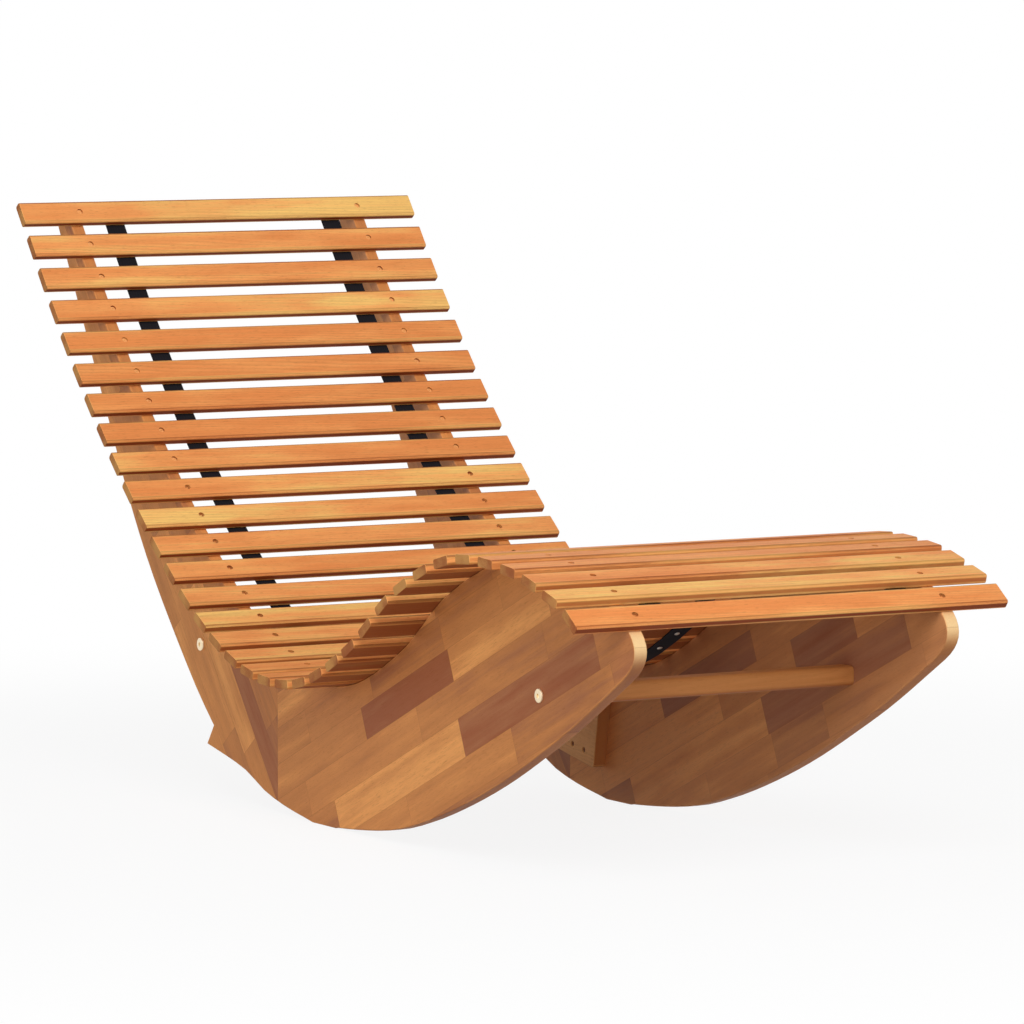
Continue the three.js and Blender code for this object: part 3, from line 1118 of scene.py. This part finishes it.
low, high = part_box("left_front_bolt")
bolt_reach = high.x - low.x - BOLT_HEAD_HEIGHT
bolt_profile = [
    (0, -bolt_reach),
    (BOLT_SHANK_RADIUS, -bolt_reach),
    (BOLT_SHANK_RADIUS, 0),
    *[(out * BOLT_HEAD_RADIUS, up * BOLT_HEAD_HEIGHT) for out, up in HEAD_OUTLINE],
]
bolt_pattern = spun("bolt pattern", bolt_profile, BOLT_SPIN_STEPS)
head_top = (0, 0, BOLT_HEAD_HEIGHT)
key = upright_rod("key", BOLT_SOCKET_RADIUS, 2 * BOLT_SOCKET_DEPTH, head_top, KEY_SIDES)
cut_with(bolt_pattern, key)
smooth(bolt_pattern)
print("bolt reaches", round(bolt_reach / MM, 1), "mm into its bar")

# %% Set the four bolts
for side, sign in SIDES:
    for end in ("front", "rear"):
        node_name = f"{side}_{end}_bolt"
        low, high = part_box(node_name)
        seat_x = low.x + BOLT_HEAD_HEIGHT if sign < 0 else high.x - BOLT_HEAD_HEIGHT
        seat = Matrix.Translation((seat_x, (low.y + high.y) / 2, (low.z + high.z) / 2))
        face_out = Matrix.Rotation(sign * math.pi / 2, 4, "Y")
        bolt = copy_of(bolt_pattern, f"{node_name}_zinc", seat @ face_out)
        dress(bolt, bolt_zinc, "zinc", node_name)
        nut = nodes[f"{side}_{end}_barrel_nut"]
        nut.data.materials.clear()
        nut.data.materials.append(bolt_zinc)
        print(node_name, "set with its head at x =", round(seat_x / MM, 1), "mm")
discard(bolt_pattern)

# %% [markdown]
# ## The straps
#
# Two black webbing straps run under all the slats and are screwed to each of them, so that the
# slats bear a load together. A strap is an edge as wide as the webbing, extruded from slat to slat
# along the undersides, then given its thickness. Its own coordinates, along and across, are written
# on it afterwards, so that the weave follows it round every bend.

# %% The webbing finish
WEAVE_PITCH = 1.9 * MM
FUZZ_WAVES = (700, 700, 700)
DUST_WAVES = (26, 40, 1)


def webbing():
    finish = Finish("black webbing")
    place = finish.attribute("strap_place", "Vector")
    along, across, _ = finish.split(place)
    turn = 2 * math.pi / WEAVE_PITCH
    ribs = (across * (0.5 * turn)).sine() * 0.5 + 0.5
    twill = ((along * 0.7 + across) * turn).sine() * 0.5 + 0.5
    fuzz = finish.noise(place, FUZZ_WAVES, 3.0, 0.6)
    dust_and_painted_light = finish.between(finish.noise(place, DUST_WAVES, 3.0), 0.5, 0.75)
    thread = ribs * 0.5 + twill * 0.5
    shade = thread * 0.5 + fuzz * 0.35 + dust_and_painted_light * 0.2
    return finish.set(
        Base_Color=finish.blend(shade, colour(7, 6, 9), colour(29, 27, 34)),
        Roughness=0.74 + fuzz * 0.2,
        Specular_IOR_Level=0.2,
        Normal=finish.bump(thread + fuzz * 0.4, 0.7, 0.3 * MM),
    )


webbing_finish = webbing()
print("finish made:", webbing_finish.name)

# %% Run a strap under the slats
STRAP_WIDTH = 28 * MM
STRAP_THICKNESS = 1.3 * MM
STRAP_GAP = 0.3 * MM
STRAP_END_ACROSS = -8 * MM
strap_depth = SLAT_THICKNESS / 2 + STRAP_GAP + STRAP_THICKNESS / 2


def underside(place, across):
    """A point on the strap's middle line below a slat, across the slat from its centre line."""
    return place @ Vector((0, across, -strap_depth))


def strap_route(head_x, foot_x):
    """Corners of the strap's middle line, two a slat from head to foot, and its length so far."""
    half = SLAT_WIDTH / 2
    route = [underside(place, side * half) for place in slat_places for side in (1, -1)]
    route[-1] = underside(slat_places[-1], STRAP_END_ACROSS)
    lengths = [0.0]
    for before, after in zip(route, route[1:]):
        lengths.append(lengths[-1] + (after - before).length)
    for corner, length in zip(route, lengths):
        corner.x += head_x + (foot_x - head_x) * length / lengths[-1]
    return route, lengths


def run_strap(name, route):
    strap = add_new(name, bpy.ops.mesh.primitive_plane_add, size=STRAP_WIDTH)
    open_mesh(strap)
    choose("EDGE", lambda edge: all(v.co.y > 0 for v in edge.verts))
    bpy.ops.mesh.select_all(action="INVERT")
    bpy.ops.mesh.delete(type="EDGE")
    bpy.ops.mesh.select_all(action="SELECT")
    bpy.ops.transform.translate(value=route[0] - Vector((0, STRAP_WIDTH / 2, 0)))
    for before, after in zip(route, route[1:]):
        bpy.ops.mesh.extrude_region_move(TRANSFORM_OT_translate={"value": after - before})
    close_mesh()
    return strap


def mark_weave(strap, route, lengths):
    """Writes each corner's place along and across the strap."""
    mesh = strap.data
    places = []
    for loop in mesh.loops:
        point = mesh.vertices[loop.vertex_index].co
        nearest = min(range(len(route)), key=lambda i: (route[i] - point).yz.length)
        places.append(Vector((lengths[nearest], point.x - route[nearest].x, 0)))
    write_marks(mesh, strap_place=places)


def apply_thickness(piece, thickness):
    shape_with(piece, "SOLIDIFY", thickness=thickness, offset=0, use_even_offset=True)
    open_mesh(piece)
    bpy.ops.mesh.select_all(action="SELECT")
    bpy.ops.mesh.normals_make_consistent(inside=False)
    close_mesh()


# %% Both straps and their screws
STRAP_SCREW_RADIUS = 3.5 * MM
SCREW_PROUD = 0.9 * MM

# Where the middle line of each strap runs, at the head end and at the foot end
STRAP_LINES = {"left": (-160 * MM, -171.5 * MM), "right": (171.5 * MM, 171.5 * MM)}

strap_screw = screw_head("strap screw pattern", STRAP_SCREW_RADIUS, SCREW_HEAD_DEPTH)
screw_height = -strap_depth - STRAP_THICKNESS / 2 - SCREW_PROUD
face_down = Matrix.Rotation(math.pi, 4, "X")
for side, (head_x, foot_x) in STRAP_LINES.items():
    route, lengths = strap_route(head_x, foot_x)
    strap = run_strap(f"{side}_strap_webbing", route)
    apply_thickness(strap, STRAP_THICKNESS)
    mark_weave(strap, route, lengths)
    smooth(strap)
    dress(strap, webbing_finish, "webbing", f"{side}_strap")
    for number, place in enumerate(slat_places, start=1):
        at_slat = (route[2 * number - 2].x + route[2 * number - 1].x) / 2
        seat = Matrix.Translation((at_slat, 0, screw_height))
        screw = copy_of(strap_screw, f"{side}_strap_screw_{number}", place @ seat @ face_down)
        dress(screw, strap_zinc, "zinc")
    print(side, "strap:", round(lengths[-1], 3), "m long, with", len(slat_places), "screws")
discard(strap_screw)

# %% [markdown]
# ## Floor, light and camera
#
# The lounger stands on a plain pale floor that takes a soft shadow. The camera and the reflections
# see the floor and the surrounding as white, which a glow in their materials gives them, so no
# lamp has to be turned up for it. What the floor throws back onto the undersides is kept low, as it
# is on the real lounger, where the undersides of the slats are much darker than their tops, and a
# painted shade in the wood finish darkens them further. The light is one large panel above the foot
# end, a little to the left, and a pale surrounding that is brightest at the horizon, like the walls
# of a studio, so that it reaches in under the seat.

# %% Floor
FLOOR_SIZE = 700
SHADOW_REACH = (0.8, 2.2)
NEAR_GLOW = 0.88
SEEN_FLOOR = (0.9, 0.9, 0.9, 1)
LIT_FLOOR = (0.56, 0.56, 0.56, 1)
FLOOR_ROUGHNESS = 0.9
WHITE = (1, 1, 1, 1)


def white_for_camera(recipe):
    """1 for what the camera and reflections see, and 0 for the light that falls on the piece."""
    names = ("Is Camera Ray", "Is Glossy Ray", "Is Transmission Ray")
    direct, mirrored, through = recipe.node("ShaderNodeLightPath", output=names)
    return direct.greater(mirrored.greater(through))


def pale_floor():
    """A floor that glows for the camera, a little less near the lounger, where its shadow lies."""
    finish = Finish("pale floor")
    seen = white_for_camera(finish)
    paint = finish.blend(seen, LIT_FLOOR, SEEN_FLOOR)
    finish.set(Base_Color=paint, Roughness=FLOOR_ROUGHNESS)
    place = finish.node("ShaderNodeTexCoord", output="Object")
    length = {"operation": "LENGTH"}
    distance = finish.node("ShaderNodeVectorMath", length, {0: place}, output="Value")
    far = finish.between(distance, *SHADOW_REACH)
    surface = Wire(finish, finish.shader.outputs["BSDF"])
    glow = finish.node("ShaderNodeEmission", inputs={"Color": WHITE, "Strength": 1.0})
    glowing = seen * (NEAR_GLOW + far * (1 - NEAR_GLOW))
    mixed = finish.node("ShaderNodeMixShader", inputs={0: glowing, 1: surface, 2: glow})
    finish.feed(finish.tree.nodes["Material Output"].inputs["Surface"], mixed)
    return finish.material


floor = add_new("floor", bpy.ops.mesh.primitive_plane_add, size=FLOOR_SIZE)
floor.data.materials.append(pale_floor())
print("floor laid,", FLOOR_SIZE, "m wide")

# %% Light
PANEL_PLACE = Vector((-1.65, -3.8, 3.65))
PANEL_AIM = Vector((0, 0, 0.35))
PANEL_SIZE = 3.0
PANEL_POWER = 181
SKY_LEVEL = 0.2
HORIZON_LEVEL = 1.35
HORIZON_TOP = 0.65

panel = add_new("light panel", bpy.ops.object.light_add, type="AREA", location=PANEL_PLACE)
panel.data.size = PANEL_SIZE
panel.data.energy = PANEL_POWER
panel.rotation_euler = (PANEL_AIM - PANEL_PLACE).to_track_quat("-Z", "Y").to_euler()

world = bpy.data.worlds.new("pale surrounding")
bpy.context.scene.world = world
world.use_nodes = True
air = Recipe(world.node_tree)
_, _, rise = air.split(air.node("ShaderNodeTexCoord", output="Generated"))
horizon = 1 - air.between(rise, 0.0, HORIZON_TOP)
level = SKY_LEVEL + horizon * (HORIZON_LEVEL - SKY_LEVEL)
falling = air.node("ShaderNodeBackground", inputs={"Color": WHITE, "Strength": level})
backdrop = air.node("ShaderNodeBackground", inputs={"Color": WHITE, "Strength": 1.0})
mix = air.node("ShaderNodeMixShader", inputs={0: white_for_camera(air), 1: falling, 2: backdrop})
air.feed(air.tree.nodes["World Output"].inputs["Surface"], mix)
print("light panel of", PANEL_POWER, "watts lit")

# %% [markdown]
# The camera stands well back to the left of the foot end and a little above the seat, with a long
# lens, which is why the slats look almost parallel.

# %% Camera
CAMERA_PLACE = (-3.8275, -6.6778, 1.065)
LOOK_DOWN = math.radians(5.036)
LOOK_RIGHT = math.radians(30.138)
LENS = 213.18
FILM_WIDTH = 36
FARTHEST_SEEN = 2000

camera = add_new("camera", bpy.ops.object.camera_add, location=CAMERA_PLACE)
camera.rotation_euler = (math.pi / 2 - LOOK_DOWN, 0, -LOOK_RIGHT)
camera.data.sensor_width = FILM_WIDTH
camera.data.lens = LENS
camera.data.clip_end = FARTHEST_SEEN
bpy.context.scene.camera = camera
bpy.context.scene.view_settings.view_transform = "Standard"
print("camera set with a lens of", LENS, "mm")
